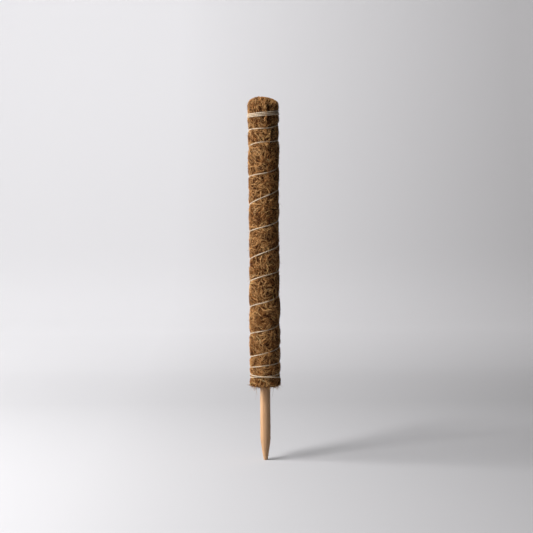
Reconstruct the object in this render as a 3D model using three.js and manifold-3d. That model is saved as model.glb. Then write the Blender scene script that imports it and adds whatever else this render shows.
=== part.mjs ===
// Moss pole: a turned wooden stake with a coir mat rolled round it, a coir crown folded over the
// top, and one length of twine wound down the outside and knotted at both ends.
// Millimetres, +Z up, the stake's tip at the origin, the front of the pole towards -Y.
import * as THREE from 'three';
import { mergeVertices } from 'three/addons/utils/BufferGeometryUtils.js';
import Module from 'manifold-3d';

// Stake
const STAKE_DIAMETER = 14;
const BARE_LENGTH = 104; // stake that stands out below the coir
const POINT_LENGTH = 30;
const POINT_BULGE = 0.7; // how far the point swells beyond a straight cone
const TIP_DIAMETER = 5.6;
const TIP_ROUND = 0.9;

// Rolled coir mat
const MAT_LENGTH = 383;
const MAT_THICKNESS = 6.1; // as rolled, two wraps deep
const LAP_EDGE = 2.4; // thickness of the mat's thinned first and last edges
const WRAP_GAP = 0.35; // between one wrap and the next
const SEAM_ANGLE = 30; // degrees to the right of the front

// Coir crown
const CROWN_PROUD = 1.65; // how far the crown stands out beyond the mat
const CROWN_THICKNESS = 12.4; // at the middle, above the end of the mat
const DOME_HEIGHT = 14;
const DOME_FULLNESS = 2.35; // 2 is an ellipse, higher is squarer
const SKIRT_LENGTH = 24; // how far the crown reaches down over the mat
const SKIRT_THICKNESS = 2.4;
const SKIRT_BEVEL = 6; // length over which the skirt's lower edge thins
const SKIRT_EDGE = 1.2;

// Twine
const TWINE_DIAMETER = 1.8;
const TWINE_BITE = 1.2; // how far the twine sinks into the coir
const TOP_BAND_INSET = 10.8; // middle of the top band below the end of the mat
const TOP_BAND_TURNS = 3;
const BAND_GAP = 0.65; // between neighbouring turns of the top band
const BAND_TILT = 1.3; // how far the top band drops at the left and climbs at the right
// Turns below the top band, laid by hand: how far each lies below the one before, and its fall per
// turn where it crosses the front. Both stretch alike on a longer mat.
const OPEN_TURNS = [
  [16.9, 9], [17.6, 13], [41.9, 30], [32.2, 46], [40.1, 33], [34.9, 41],
  [31.9, 34], [36.3, 33], [39.9, 25], [31.6, 30], [16.9, 16], [15.1, 8],
];
const BOTTOM_BAND_INSET = 14.6; // last turns above the lower edge of the mat
const LAST_TURN_DROP = 5; // the last turn dips this far at the back, then climbs over itself
const LAST_TURN_RISE = 3.5;
const CROSSING_GAP = 0.55; // between the last turn and the one it climbs over
const CROSSING_REACH = 0.3; // turns, either side of the crossing
const END_RAMP = 0.12; // turns over which each end comes up out of the coir

// Knots
const KNOT_DIAMETER = 4.2;
const KNOT_LENGTH = 4.8;
const KNOT_FACE = 3; // diameter of the knot's flat end
const KNOT_ROOM = 1.4; // between the top knot and the band
const TAIL_LENGTH = 9;
const TAIL_STEPS = 5;

const SEAT_GAP = 0.3; // between pieces that touch
const POLE_SIDES = 48;
const WRAP_SIDES = 24; // sides of one wrap and steps of one turn of twine
const TWINE_SIDES = 6;

// Derived sizes
const stakeRadius = STAKE_DIAMETER / 2;
const twineRadius = TWINE_DIAMETER / 2;
const matBottom = BARE_LENGTH;
const matTop = matBottom + MAT_LENGTH;
const matInner = stakeRadius + SEAT_GAP;
const matRadius = matInner + 2 * MAT_THICKNESS + WRAP_GAP;
const crownRadius = matRadius + CROWN_PROUD;
const crownBottom = matTop - SKIRT_LENGTH;
const crownUnderside = matTop + SEAT_GAP;
const crownTop = crownUnderside + CROWN_THICKNESS;
const crownBore = crownRadius - SKIRT_THICKNESS;

const wasm = await Module();
wasm.setup();

// Shared helpers

// A place on the pole: the angle is in radians from the front, positive to the right.
function onPole(angle, radius, height) {
  return new THREE.Vector3(radius * Math.sin(angle), -radius * Math.cos(angle), height);
}

function revolved(profile, sides) {
  const points = profile.map(([radius, height]) => new THREE.Vector2(radius, height));
  return new THREE.LatheGeometry(points, sides).rotateX(Math.PI / 2);
}

// A closed tube through the points. Each ring starts from the direction in outward.
function tubeThrough(points, outward, radius, sides) {
  const positions = [];
  const triangles = [];
  points.forEach((point, i) => {
    const before = points[Math.max(i - 1, 0)];
    const after = points[Math.min(i + 1, points.length - 1)];
    const along = after.clone().sub(before).normalize();
    const out = outward[i].clone().projectOnPlane(along).normalize();
    const across = along.clone().cross(out);
    for (let k = 0; k < sides; k += 1) {
      const turn = (2 * Math.PI * k) / sides;
      const spoke = out.clone().multiplyScalar(Math.cos(turn)).addScaledVector(across, Math.sin(turn));
      positions.push(...point.clone().addScaledVector(spoke, radius).toArray());
    }
  });
  for (let i = 0; i < points.length - 1; i += 1) {
    for (let k = 0; k < sides; k += 1) {
      const here = i * sides + k;
      const beside = i * sides + ((k + 1) % sides);
      triangles.push(here, beside, beside + sides, here, beside + sides, here + sides);
    }
  }
  const lastRing = (points.length - 1) * sides;
  for (let k = 1; k < sides - 1; k += 1) {
    triangles.push(0, k + 1, k);
    triangles.push(lastRing, lastRing + k, lastRing + k + 1);
  }
  const geometry = new THREE.BufferGeometry();
  geometry.setAttribute('position', new THREE.Float32BufferAttribute(positions, 3));
  geometry.setIndex(triangles);
  return geometry;
}

function solidOf(geometry) {
  const bare = geometry.clone();
  bare.deleteAttribute('normal');
  bare.deleteAttribute('uv');
  const merged = mergeVertices(bare, 1e-4);
  const index = merged.index.array;
  const triangles = [];
  for (let i = 0; i < index.length; i += 3) {
    const [a, b, c] = index.slice(i, i + 3);
    if (a !== b && b !== c && c !== a) {
      triangles.push(a, b, c);
    }
  }
  const vertices = new Float32Array(merged.attributes.position.array);
  return new wasm.Manifold(
    new wasm.Mesh({ numProp: 3, vertProperties: vertices, triVerts: new Uint32Array(triangles) }),
  );
}

function geometryOf(solid) {
  const mesh = solid.getMesh();
  const geometry = new THREE.BufferGeometry();
  geometry.setAttribute('position', new THREE.Float32BufferAttribute(mesh.vertProperties, 3));
  geometry.setIndex([...mesh.triVerts]);
  return geometry;
}

// Route of the twine. A turn is counted from 0 where the first full turn crosses the front, and
// the twine runs from right to left across the front as it comes down the pole.
function twineStops() {
  const pitch = TWINE_DIAMETER + BAND_GAP;
  const bandTop = matTop - TOP_BAND_INSET + ((TOP_BAND_TURNS - 1) / 2) * pitch;
  const bandEnd = TOP_BAND_TURNS - 1;
  const bottomBand = matBottom + BOTTOM_BAND_INSET;
  const stops = [{ turn: -0.5, height: bandTop + KNOT_DIAMETER / 2 + KNOT_ROOM }];
  for (let turn = 0; turn <= bandEnd; turn += 1) {
    stops.push({ turn, height: bandTop - turn * pitch });
  }
  const openTop = bandTop - bandEnd * pitch;
  stops.push({ turn: bandEnd + 0.25, height: openTop - pitch / 4 });
  const gapSum = OPEN_TURNS.reduce((sum, [gap]) => sum + gap, 0);
  const stretch = (openTop - bottomBand) / gapSum;
  let turn = bandEnd;
  let height = openTop;
  for (const [gap, fall] of OPEN_TURNS) {
    turn += 1;
    height -= gap * stretch;
    stops.push({ turn, height, slope: -fall * stretch });
  }
  stops.push({ turn: turn + 0.5, height: bottomBand - LAST_TURN_DROP });
  stops.push({ turn: turn + 1, height: bottomBand });
  stops.push({ turn: turn + 1.5, height: bottomBand + LAST_TURN_RISE });
  return stops;
}

const stops = twineStops();
const firstTurn = stops[0].turn;
const lastTurn = stops[stops.length - 1].turn;
const crossingTurn = lastTurn - 0.5;

// Slope at a stop: its own if it has one, else level at a high or low point, and never steep enough
// to overshoot.
function slopeAt(i) {
  const before = stops[Math.max(i - 1, 0)];
  const here = stops[i];
  const after = stops[Math.min(i + 1, stops.length - 1)];
  if (here.slope !== undefined) {
    return here.slope;
  }
  if (before === here || here === after) {
    return (after.height - before.height) / (after.turn - before.turn);
  }
  const slopeIn = (here.height - before.height) / (here.turn - before.turn);
  const slopeOut = (after.height - here.height) / (after.turn - here.turn);
  return slopeIn * slopeOut > 0 ? (2 * slopeIn * slopeOut) / (slopeIn + slopeOut) : 0;
}

function heightAt(turn) {
  const found = stops.findIndex((stop, i) => i > 0 && turn <= stop.turn);
  const i = found < 0 ? stops.length - 1 : found;
  const [from, to] = [stops[i - 1], stops[i]];
  const span = to.turn - from.turn;
  const t = (turn - from.turn) / span;
  const blend = t * t * (3 - 2 * t);
  const leaving = t * (1 - t) ** 2 * span * slopeAt(i - 1);
  const arriving = t * t * (t - 1) * span * slopeAt(i);
  return from.height + (to.height - from.height) * blend + leaving + arriving;
}

// Tilt of the top band, which the first open turn loses on its way round the back.
function tiltAt(turn) {
  const bandEnd = TOP_BAND_TURNS - 1;
  const kept = 1 - THREE.MathUtils.smoothstep(turn, bandEnd + 0.5, bandEnd + 1);
  return -BAND_TILT * kept * Math.sin(2 * Math.PI * turn);
}

// Radius of the coir that the twine lies on, eased over the step at the skirt's edge.
function coirRadiusAt(height) {
  const stepBottom = crownBottom - TWINE_DIAMETER;
  const ease = THREE.MathUtils.smoothstep(height, stepBottom, crownBottom + SKIRT_BEVEL);
  return THREE.MathUtils.lerp(matRadius, crownRadius, ease);
}

function twinePoint(turn) {
  const height = heightAt(turn) + tiltAt(turn);
  const fromEnd = Math.min(turn - firstTurn, lastTurn - turn);
  const buried = THREE.MathUtils.smoothstep(fromEnd, 0, END_RAMP);
  const seat = THREE.MathUtils.lerp(SEAT_GAP, -TWINE_BITE, buried);
  const fromCrossing = Math.min(Math.abs(turn - crossingTurn) / CROSSING_REACH, 1);
  const lift = (TWINE_DIAMETER + CROSSING_GAP) * (0.5 + 0.5 * Math.cos(Math.PI * fromCrossing));
  return onPole(-2 * Math.PI * turn, coirRadiusAt(height) + twineRadius + seat + lift, height);
}

function outwardFrom(point) {
  return new THREE.Vector3(point.x, point.y, 0).normalize();
}

// Direction in which the twine leaves the pole at one of its ends.
function endDirection(turn, inward) {
  return twinePoint(turn).sub(twinePoint(turn + inward / WRAP_SIDES)).setZ(0).normalize();
}

// The whole route, with a straight run at each end for the given length.
function twineRoute(straight) {
  const points = [];
  const steps = Math.round((lastTurn - firstTurn) * WRAP_SIDES);
  for (let i = 0; i <= steps; i += 1) {
    points.push(twinePoint(firstTurn + i / WRAP_SIDES));
  }
  points.unshift(points[0].clone().addScaledVector(endDirection(firstTurn, 1), straight));
  points.push(points[steps + 1].clone().addScaledVector(endDirection(lastTurn, -1), straight));
  return points;
}

function woundTube(radius, straight) {
  const points = twineRoute(straight);
  return tubeThrough(points, points.map(outwardFrom), radius, TWINE_SIDES);
}

// Least gap between one turn of the twine and another.
function leastTwineGap() {
  const samplesPerTurn = 96;
  const count = Math.round((lastTurn - firstTurn) * samplesPerTurn);
  const points = Array.from({ length: count + 1 }, (_, i) => twinePoint(firstTurn + i / samplesPerTurn));
  let least = Infinity;
  for (let i = 0; i < points.length; i += 1) {
    for (let j = i + samplesPerTurn / 2; j < points.length; j += 1) {
      least = Math.min(least, points[i].distanceTo(points[j]));
    }
  }
  return least - TWINE_DIAMETER;
}

// Sub-parts

function stakeGeometry() {
  const tipRadius = TIP_DIAMETER / 2;
  const point = new THREE.QuadraticBezierCurve(
    new THREE.Vector2(tipRadius, TIP_ROUND),
    new THREE.Vector2((tipRadius + stakeRadius) / 2 + POINT_BULGE, (TIP_ROUND + POINT_LENGTH) / 2),
    new THREE.Vector2(stakeRadius, POINT_LENGTH),
  );
  const profile = [[0, 0]];
  for (const degrees of [0, 30, 60]) {
    const turn = THREE.MathUtils.degToRad(degrees);
    profile.push([tipRadius - TIP_ROUND * (1 - Math.sin(turn)), TIP_ROUND * (1 - Math.cos(turn))]);
  }
  for (const { x, y } of point.getPoints(8)) {
    profile.push([x, y]);
  }
  profile.push([stakeRadius, matTop], [0, matTop]);
  return revolved(profile, POLE_SIDES);
}

// Radius of the join between the two wraps, at a share of the way round from the seam. It starts
// under the thin first edge and ends under the thin last edge.
function wrapJoin(share) {
  const low = matInner + LAP_EDGE;
  const high = matRadius - LAP_EDGE - WRAP_GAP;
  return THREE.MathUtils.lerp(low, high, 0.5 + 0.5 * (2 * share - 1) ** 3);
}

// End of the roll: out along wrap one, round wrap two, and back along the inside of both.
function rollOutline() {
  const seam = THREE.MathUtils.degToRad(SEAM_ANGLE);
  const firstShare = WRAP_GAP / (2 * Math.PI * matInner);
  const lastShare = 1 - WRAP_GAP / (2 * Math.PI * matRadius);
  const shares = [];
  for (let i = 1; i < WRAP_SIDES; i += 1) {
    shares.push(i / WRAP_SIDES);
  }
  const outline = [];
  const add = (share, radius) => {
    const place = onPole(seam + 2 * Math.PI * share, radius, 0);
    outline.push(new THREE.Vector2(place.x, place.y));
  };
  const wrapOne = [firstShare, ...shares, 1];
  const wrapTwo = [0, ...shares, lastShare];
  wrapOne.forEach((share) => add(share, wrapJoin(share)));
  wrapTwo.forEach((share) => add(share, matRadius));
  wrapTwo.reverse().forEach((share) => add(share, wrapJoin(share) + WRAP_GAP));
  wrapOne.reverse().forEach((share) => add(share, matInner));
  return outline;
}

function matGeometry(groove) {
  const roll = new THREE.ExtrudeGeometry(new THREE.Shape(rollOutline()), {
    depth: MAT_LENGTH,
    bevelEnabled: false,
  });
  roll.translate(0, 0, matBottom);
  const neck = crownBore - SEAT_GAP;
  const beyond = matRadius + SKIRT_THICKNESS;
  const ledge = crownBottom - SEAT_GAP;
  const above = matTop + SEAT_GAP;
  const skirtRoom = revolved(
    [[neck, ledge], [beyond, ledge], [beyond, above], [neck, above], [neck, ledge]],
    WRAP_SIDES,
  );
  return geometryOf(solidOf(roll).subtract(solidOf(skirtRoom)).subtract(groove));
}

function crownGeometry(groove) {
  const shoulder = crownTop - DOME_HEIGHT;
  const domeSteps = 12;
  const profile = [
    [0, crownUnderside],
    [crownBore, crownUnderside],
    [crownBore, crownBottom],
    [crownBore + SKIRT_EDGE, crownBottom],
    [crownRadius, crownBottom + SKIRT_BEVEL],
  ];
  for (let i = 0; i < domeSteps; i += 1) {
    const turn = ((Math.PI / 2) * i) / domeSteps;
    const power = 2 / DOME_FULLNESS;
    const radius = crownRadius * Math.cos(turn) ** power;
    profile.push([radius, shoulder + DOME_HEIGHT * Math.sin(turn) ** power]);
  }
  profile.push([0, crownTop]);
  return geometryOf(solidOf(revolved(profile, POLE_SIDES)).subtract(groove));
}

// A knot at one end of the twine: a barrel with flat ends, and a short tail that follows the coir.
function knotGeometry(turn, inward) {
  const end = twinePoint(turn);
  const along = endDirection(turn, inward);
  const out = outwardFrom(end);
  const seatRadius = coirRadiusAt(end.z) + SEAT_GAP;
  const half = KNOT_LENGTH / 2;
  const faceRadius = KNOT_FACE / 2;
  const barrel = revolved(
    [[0, -half], [faceRadius, -half], [KNOT_DIAMETER / 2, 0], [faceRadius, half], [0, half]],
    WRAP_SIDES / 2,
  );
  const middle = out.clone().multiplyScalar(seatRadius + KNOT_DIAMETER / 2).setZ(end.z);
  middle.addScaledVector(along, TWINE_DIAMETER + SEAT_GAP + half);
  const upright = along.clone().cross(out);
  barrel.applyMatrix4(new THREE.Matrix4().makeBasis(out, upright, along).setPosition(middle));
  const tailStart = Math.atan2(middle.x, -middle.y);
  const tailSweep = (inward * (half + TAIL_LENGTH)) / seatRadius;
  const tail = Array.from({ length: TAIL_STEPS + 1 }, (_, i) => {
    const share = i / TAIL_STEPS;
    const radius = THREE.MathUtils.lerp(Math.hypot(middle.x, middle.y), seatRadius + twineRadius, share);
    return onPole(tailStart + tailSweep * share, radius, end.z);
  });
  const tube = tubeThrough(tail, tail.map(outwardFrom), twineRadius, TWINE_SIDES);
  return geometryOf(solidOf(barrel).add(solidOf(tube)));
}

// Assembly

const wood = { color: 0xc9955f, roughness: 0.62, metalness: 0 };
const coir = { color: 0x8a6237, roughness: 0.95, metalness: 0 };
const crownCoir = { color: 0x83592f, roughness: 0.95, metalness: 0 };
const twine = { color: 0xd8c8a4, roughness: 0.85, metalness: 0 };

const group = new THREE.Group();
group.name = 'moss_pole';

function addPiece(name, geometry, look) {
  const mesh = new THREE.Mesh(geometry, new THREE.MeshStandardMaterial(look));
  mesh.name = name;
  group.add(mesh);
}

const groove = solidOf(woundTube(twineRadius + SEAT_GAP, TWINE_DIAMETER + SEAT_GAP));
addPiece('stake', stakeGeometry(), wood);
addPiece('coir_mat', matGeometry(groove), coir);
addPiece('crown_cap', crownGeometry(groove), crownCoir);
addPiece('binding_twine', woundTube(twineRadius, TWINE_DIAMETER), twine);
addPiece('top_knot', knotGeometry(firstTurn, 1), twine);
addPiece('bottom_knot', knotGeometry(lastTurn, -1), twine);
console.log(`least gap from the twine to itself: ${leastTwineGap().toFixed(2)} mm`);

export default group;
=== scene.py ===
"""Moss pole: a coir roll on a turned stake, its folded crown and the twine wound round it."""
import math

import bpy
import numpy as np
from mathutils import Matrix, Vector


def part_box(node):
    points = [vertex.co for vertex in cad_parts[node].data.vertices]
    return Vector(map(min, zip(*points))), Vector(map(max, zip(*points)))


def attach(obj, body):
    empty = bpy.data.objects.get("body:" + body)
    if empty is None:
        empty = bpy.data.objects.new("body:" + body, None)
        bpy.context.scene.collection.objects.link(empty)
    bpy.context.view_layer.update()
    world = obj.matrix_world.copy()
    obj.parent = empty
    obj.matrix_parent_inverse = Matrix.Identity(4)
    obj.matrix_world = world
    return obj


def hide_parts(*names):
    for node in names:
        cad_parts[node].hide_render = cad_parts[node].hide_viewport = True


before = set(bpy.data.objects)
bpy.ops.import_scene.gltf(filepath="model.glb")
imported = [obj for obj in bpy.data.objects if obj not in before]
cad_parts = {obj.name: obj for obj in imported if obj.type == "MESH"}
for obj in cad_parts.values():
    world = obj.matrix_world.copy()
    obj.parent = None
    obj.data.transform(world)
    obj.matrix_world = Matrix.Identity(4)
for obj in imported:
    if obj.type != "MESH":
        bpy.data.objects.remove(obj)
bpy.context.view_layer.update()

# Sizes from the frame, in metres
MAT_LOW, MAT_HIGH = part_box("coir_mat")
CROWN_LOW, CROWN_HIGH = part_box("crown_cap")
STAKE_LOW, STAKE_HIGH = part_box("stake")
MAT_BOTTOM = MAT_LOW[2]
MAT_TOP = MAT_HIGH[2]
MAT_RADIUS = (MAT_HIGH[0] - MAT_LOW[0]) / 2
CROWN_BOTTOM = CROWN_LOW[2]
CROWN_TOP = CROWN_HIGH[2]
CROWN_RADIUS = (CROWN_HIGH[0] - CROWN_LOW[0]) / 2
STAKE_RADIUS = (STAKE_HIGH[0] - STAKE_LOW[0]) / 2
STAKE_TOP = STAKE_HIGH[2]

# Sizes that the boxes don't give, in metres, the same as the solids have
POINT_LENGTH = 0.030
POINT_BULGE = 0.0007  # how far the point swells beyond a straight cone
TIP_RADIUS = 0.0028
TIP_ROUND = 0.0009
SEAT_GAP = 0.0003
MAT_INNER = STAKE_RADIUS + SEAT_GAP
LAP_EDGE = 0.0024  # thickness of the mat's thinned first and last edges
SEAM_ANGLE = math.radians(30)  # to the right of the front
DOME_HEIGHT = 0.014
DOME_FULLNESS = 2.35  # 2 is an ellipse, higher is squarer
SKIRT_BEVEL = 0.006  # length over which the skirt's lower edge thins
SKIRT_EDGE = 0.0012
SKIRT_THICKNESS = 0.0024
TWINE_RADIUS = 0.0009
TWINE_BITE = 0.0012  # how far the twine sinks into the coir
TOP_BAND_INSET = 0.0108  # middle of the top band below the end of the mat
TOP_BAND_TURNS = 3
BAND_TILT = 0.0013  # how far the top band drops at the left and climbs at the right
BOTTOM_BAND_INSET = 0.0146  # last turns above the lower edge of the mat
LAST_TURN_DROP = 0.005  # the last turn dips this far at the back, then climbs over itself
LAST_TURN_RISE = 0.0035
CROSSING_GAP = 0.00055  # between the last turn and the one it climbs over
CROSSING_LIFT = 2 * TWINE_RADIUS + CROSSING_GAP
CROSSING_REACH = 0.3  # turns, either side of the crossing
END_RAMP = 0.12  # turns over which each end comes up out of the coir
KNOT_RADIUS = 0.0021
KNOT_LENGTH = 0.0048
KNOT_ROOM = 0.0014  # between the top knot and the band
TAIL_LENGTH = 0.009

# The twine's turns. They keep within 4 mm of the solid's route, and the top band's lie closer together.
BAND_GAP = 0.0002
BAND_PITCH = 2 * TWINE_RADIUS + BAND_GAP
# How far each open turn of twine lies below the one before, and its fall per turn where it crosses the
# front, in millimetres before they stretch alike to fill the roll
OPEN_TURNS = (
    (17.2, 2), (18.3, 4), (42.3, 21), (32.0, 50), (40.4, 33), (34.9, 47),
    (31.8, 34), (36.3, 33), (38.8, 25), (31.0, 33), (17.2, 16), (15.1, 8),
)
# How far each open turn bows up at its sides, in metres
TURN_BOWS = (
    0.0009, -0.0013, 0.0007, -0.0004, 0.0004, -0.0010,
    -0.0011, 0.0010, 0.0009, -0.0006, -0.0002, 0.0,
)

FULL_TURN = 2 * math.pi
GIRTH = FULL_TURN * MAT_RADIUS


# Helpers for places and noise

NOISE_MARGIN = 4


def smoothstep(value, low, high):
    share = np.clip((value - low) / (high - low), 0, 1)
    return share * share * (3 - 2 * share)


def on_pole(angle, radius, height):
    """Places round the pole. The angle is from the front, positive to the right."""
    return np.stack(np.broadcast_arrays(radius * np.sin(angle), -radius * np.cos(angle), height), -1)


def flat_noise(x, y, cell, seed):
    """Smooth noise from -1 to 1 over the unrolled coir, with lumps about a cell across.

    Every use has a seed of its own. The noise runs on for a few cells past both ends of the pole.
    """
    columns = max(3, round(GIRTH / cell))
    rows = math.ceil(CROWN_TOP / cell) + 2 * NOISE_MARGIN
    values = np.random.default_rng(seed).uniform(-1, 1, (rows, columns))
    across = np.asarray(x) / GIRTH * columns
    last_row = rows - 1.001  # with the row above it still inside the table
    up = np.clip(np.asarray(y) / cell + NOISE_MARGIN, 0, last_row)
    column, row = np.floor(across).astype(int), np.floor(up).astype(int)
    share_x, share_y = smoothstep(across - column, 0, 1), smoothstep(up - row, 0, 1)
    left, right = column % columns, (column + 1) % columns
    low = values[row, left] * (1 - share_x) + values[row, right] * share_x
    high = values[row + 1, left] * (1 - share_x) + values[row + 1, right] * share_x
    return low * (1 - share_y) + high * share_y


def angle_off(angle, other):
    """Angle from the other, between minus and plus half a turn."""
    return (angle - other + math.pi) % FULL_TURN - math.pi


def path_lengths(points):
    steps = np.linalg.norm(np.diff(points, axis=0), axis=1)
    return np.concatenate(([0], np.cumsum(steps)))


def even_path(points, step):
    """The path through the points again, with evenly spaced points."""
    along = path_lengths(points)
    where = np.linspace(0, along[-1], round(along[-1] / step))
    return np.stack([np.interp(where, along, axis) for axis in points.T], -1)


# Helpers for meshes

TINY = 1e-12  # keeps a direction of no length from dividing by zero
UPWARD_LEAN = 0.004  # gives a path over the middle of the crown an outward direction, in metres


def mesh_piece(name, vertices, *face_groups):
    """A smooth-shaded object from places and groups of faces with equally many corners."""
    mesh = bpy.data.meshes.new(name)
    corners = np.concatenate([np.ravel(group) for group in face_groups])
    counts = np.concatenate([np.full(len(group), np.shape(group)[1]) for group in face_groups])
    mesh.vertices.add(len(vertices))
    mesh.vertices.foreach_set("co", np.asarray(vertices, np.float32).ravel())
    mesh.loops.add(len(corners))
    mesh.loops.foreach_set("vertex_index", corners.astype(np.int32))
    mesh.polygons.add(len(counts))
    mesh.polygons.foreach_set("loop_start", (np.cumsum(counts) - counts).astype(np.int32))
    mesh.polygons.foreach_set("use_smooth", np.ones(len(counts), bool))
    mesh.update(calc_edges=True)
    piece = bpy.data.objects.new(name, mesh)
    bpy.context.collection.objects.link(piece)
    return piece


def ring_faces(rings, around, closed=False):
    """Quads between neighbouring rings of vertices, and from the last ring to the first if closed."""
    ring = np.arange(rings if closed else rings - 1)[:, None]
    spoke = np.arange(around)[None, :]
    after, beside = (ring + 1) % rings, (spoke + 1) % around
    corners = (ring * around + spoke, ring * around + beside, after * around + beside, after * around + spoke)
    return np.stack(np.broadcast_arrays(*corners), -1).reshape(-1, 4)


def end_fan(ring, around, middle):
    """Triangles from one ring of vertices to the vertex at its middle."""
    spoke = np.arange(around)
    here, beside = ring * around + spoke, ring * around + (spoke + 1) % around
    return np.stack([here, beside, np.full(around, middle)], -1)


def to_unit_length(directions):
    return directions / np.maximum(np.linalg.norm(directions, axis=2, keepdims=True), TINY)


def frames_along(paths):
    """Directions outward from the pole and across, at each point of each path and square to it."""
    along = to_unit_length(np.gradient(paths, axis=1))
    outward = paths * (1, 1, 0) + (0, 0, UPWARD_LEAN)
    outward = to_unit_length(outward - along * (outward * along).sum(2, keepdims=True))
    return outward, np.cross(along, outward)


def tube_piece(name, paths, radii, sides, colours=None, flatness=1.0):
    """One mesh of closed tubes, one for each path, with a radius and maybe a colour at each point."""
    count, steps = paths.shape[:2]
    outward, across = frames_along(paths)
    turn = FULL_TURN * np.arange(sides)[:, None] / sides
    spokes = flatness * outward[:, :, None] * np.cos(turn) + across[:, :, None] * np.sin(turn)
    vertices = paths[:, :, None] + spokes * np.broadcast_to(radii, (count, steps))[..., None, None]
    first = (np.arange(count) * steps * sides)[:, None, None]
    walls = (first + ring_faces(steps, sides)).reshape(-1, 4)
    start = first[:, 0] + np.arange(sides)[::-1]
    end = first[:, 0] + (steps - 1) * sides + np.arange(sides)
    piece = mesh_piece(name, vertices.reshape(-1, 3), walls, start, end)
    if colours is not None:
        tones = np.ones((count * steps * sides, 4), np.float32)
        tones[:, :3] = np.repeat(colours.reshape(-1, 3), sides, axis=0)
        attribute = piece.data.color_attributes.new("tone", "FLOAT_COLOR", "POINT")
        attribute.data.foreach_set("color", tones.ravel())
    return piece


def dress(piece, material, slot, *nodes):
    """Gives a piece its material and its place in the frame, instead of the named nodes."""
    piece.data.materials.append(material)
    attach(piece, "root")
    if nodes:
        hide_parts(*nodes)
    return piece


# Camera: a long lens a little below the crown's height, tipped slightly down

LENS_MM = 100
SENSOR_MM = 36
CAMERA_DISTANCE = 2.026
CAMERA_HEIGHT = 0.4211
CAMERA_SIDE = 0.003
CAMERA_TILT = math.radians(4.31)
CAMERA_ROLL = math.radians(0.41)


def add_camera():
    data = bpy.data.cameras.new("camera")
    data.lens = LENS_MM
    data.sensor_width = SENSOR_MM
    camera = bpy.data.objects.new("camera", data)
    bpy.context.collection.objects.link(camera)
    level = Matrix.Rotation(math.pi / 2 - CAMERA_TILT, 4, "X")
    roll = Matrix.Rotation(-CAMERA_ROLL, 4, "Z")
    place = Matrix.Translation(Vector((CAMERA_SIDE, -CAMERA_DISTANCE, CAMERA_HEIGHT)))
    camera.matrix_world = place @ level @ roll
    bpy.context.scene.camera = camera


# Route of the twine. Turn 0 is its first crossing of the front.

def easy_slopes(turns, heights):
    """Slopes at the stops: level at a high or low point, and never steep enough to overshoot."""
    steps = np.diff(heights) / np.diff(turns)
    before, after = steps[:-1], steps[1:]
    same_way = before * after > 0
    inner = np.where(same_way, 2 * before * after / np.where(same_way, before + after, 1), 0)
    return np.concatenate(([steps[0]], inner, [steps[-1]]))


def twine_stops():
    """Turns, heights and slopes of the places that the twine passes. It starts and ends at the back."""
    band = np.arange(TOP_BAND_TURNS)
    band_top = MAT_TOP - TOP_BAND_INSET + (TOP_BAND_TURNS - 1) / 2 * BAND_PITCH
    open_top = band_top - band[-1] * BAND_PITCH
    bottom_band = MAT_BOTTOM + BOTTOM_BAND_INSET
    gaps, falls = np.array(OPEN_TURNS).T
    stretch = (open_top - bottom_band) / gaps.sum()
    open_turns = band[-1] + 1 + np.arange(len(gaps))
    last_turns = open_turns[-1] + np.array((0.5, 1, 1.5))
    last_heights = bottom_band + np.array((-LAST_TURN_DROP, 0, LAST_TURN_RISE))
    turns = np.concatenate(([-0.5], band, [band[-1] + 0.25], open_turns, last_turns))
    top_heights = np.concatenate(([band_top + KNOT_RADIUS + KNOT_ROOM], band_top - band * BAND_PITCH))
    open_heights = np.concatenate(([open_top - BAND_PITCH / 4], open_top - np.cumsum(gaps) * stretch))
    heights = np.concatenate((top_heights, open_heights, last_heights))
    slopes = easy_slopes(turns, heights)
    slopes[np.isin(turns, open_turns)] = -falls * stretch
    return turns, heights, slopes


STOP_TURNS, STOP_HEIGHTS, STOP_SLOPES = twine_stops()
FIRST_TURN, LAST_TURN = STOP_TURNS[0], STOP_TURNS[-1]
CROSSING_TURN = LAST_TURN - 0.5  # where the last turn crosses over the one before it


def twine_height(turn):
    turn = np.clip(turn, FIRST_TURN, LAST_TURN)
    i = np.clip(np.searchsorted(STOP_TURNS, turn), 1, len(STOP_TURNS) - 1)
    span = STOP_TURNS[i] - STOP_TURNS[i - 1]
    share = (turn - STOP_TURNS[i - 1]) / span
    blend = share * share * (3 - 2 * share)
    leaving = share * (1 - share) ** 2 * span * STOP_SLOPES[i - 1]
    arriving = share * share * (share - 1) * span * STOP_SLOPES[i]
    height = STOP_HEIGHTS[i - 1] + (STOP_HEIGHTS[i] - STOP_HEIGHTS[i - 1]) * blend + leaving + arriving
    in_band = 1 - smoothstep(turn, TOP_BAND_TURNS - 0.5, TOP_BAND_TURNS)
    bow = np.interp(turn, TOP_BAND_TURNS + np.arange(len(TURN_BOWS)), TURN_BOWS)
    from_front = np.abs(turn - np.round(turn))
    bow = bow * smoothstep(from_front, 0, 0.25) * (1 - in_band)
    return height - BAND_TILT * in_band * np.sin(FULL_TURN * turn) + bow


def radius_under_twine(height):
    ease = smoothstep(height, CROWN_BOTTOM - 2 * TWINE_RADIUS, CROWN_BOTTOM + SKIRT_BEVEL)
    return MAT_RADIUS + (CROWN_RADIUS - MAT_RADIUS) * ease


def twine_points(turn):
    """Places along the middle of the twine, which bites into the coir except at its ends."""
    height = twine_height(turn)
    buried = smoothstep(np.minimum(turn - FIRST_TURN, LAST_TURN - turn), 0, END_RAMP)
    seat = SEAT_GAP - (SEAT_GAP + TWINE_BITE) * buried
    from_crossing = np.minimum(np.abs(turn - CROSSING_TURN) / CROSSING_REACH, 1)
    lift = CROSSING_LIFT * (0.5 + 0.5 * np.cos(math.pi * from_crossing))
    radius = radius_under_twine(height) + TWINE_RADIUS + seat + lift
    return on_pole(-FULL_TURN * turn, radius, height)


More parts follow.
